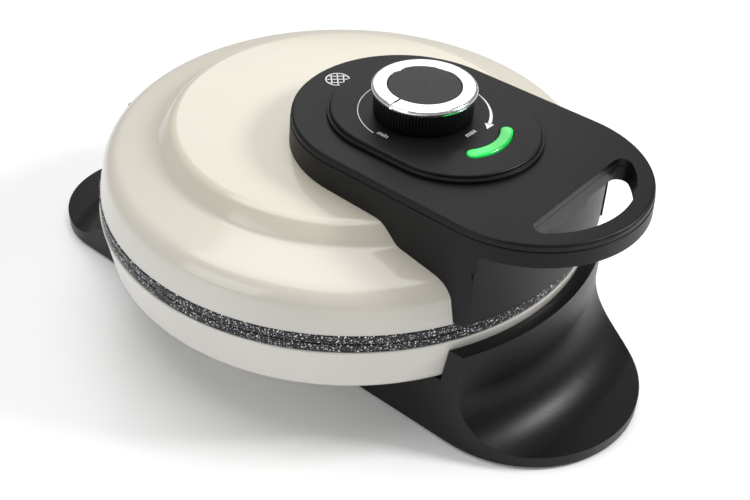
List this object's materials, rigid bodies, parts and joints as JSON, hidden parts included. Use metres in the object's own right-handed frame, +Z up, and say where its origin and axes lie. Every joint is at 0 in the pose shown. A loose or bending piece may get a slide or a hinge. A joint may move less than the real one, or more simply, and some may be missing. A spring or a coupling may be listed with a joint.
{
  "type": "waffle maker",
  "caption": "Round electric waffle maker with a hinged lid, loop handle, temperature knob, indicator lens and a moulded base with flared feet.",
  "frame": {"origin": "centre of the bounding box at the surface the appliance stands on", "axes": "+Z up, -Y towards the handle (front), +X to the right of a person facing the handle's rear; X = 0 is the plane of symmetry"},
  "size_m": [0.22, 0.302, 0.1234],
  "materials": {
    "black_plastic": "fine satin texture, near black",
    "rubber": "matt",
    "cream_enamel": "glossy warm cream stove enamel",
    "speckled_coating": "satin black non-stick coating with white specks",
    "heater_steel": "dull, heat-darkened",
    "reflector_aluminium": "bright rolled",
    "zinc_steel": "zinc plated",
    "ceramic_white": "matt steatite",
    "green_lens": "glossy green lens",
    "lamp_glass": "clear glass lamp",
    "chrome_ring": "polished"
  },
  "bodies": {
    "base": {"base_frame": "black_plastic", "base_cover": "black_plastic", "rubber_feet": "rubber", "lower_shell": "cream_enamel", "lower_plate": "speckled_coating", "lower_heater": "heater_steel", "lower_reflector": "reflector_aluminium", "hinge_pin": "zinc_steel", "cord_gland": "black_plastic", "terminal_block": "ceramic_white", "plate_screws": "zinc_steel", "base_cover_screws": "zinc_steel"},
    "lid": {"upper_shell": "cream_enamel", "upper_plate": "speckled_coating", "upper_heater": "heater_steel", "upper_reflector": "reflector_aluminium", "thermostat": "ceramic_white", "thermal_fuse": "ceramic_white", "lid_hinge_arm": "zinc_steel", "hinge_screws": "zinc_steel", "handle_frame": "black_plastic", "handle_cover": "black_plastic", "front_panel": "black_plastic", "control_panel": "black_plastic", "indicator_lens": "green_lens", "indicator_lamp": "lamp_glass", "handle_screws": "zinc_steel", "loop_screws": "zinc_steel"},
    "knob": {"knob_body": "black_plastic", "knob_ring": "chrome_ring", "knob_cap": "black_plastic", "thermostat_shaft": "zinc_steel"}
  },
  "joints": [
    {"name": "lid_hinge", "type": "hinge", "parent": "base", "child": "lid", "pos_m": [0, 0.1175, 0.054], "axis": [-1, 0, 0], "range_deg": [0, 95]},
    {"name": "knob_turn", "type": "hinge", "parent": "lid", "child": "knob", "pos_m": [0, -0.039, 0.1117], "axis": [0, 0, -1], "range_deg": [0, 270]}
  ]
}
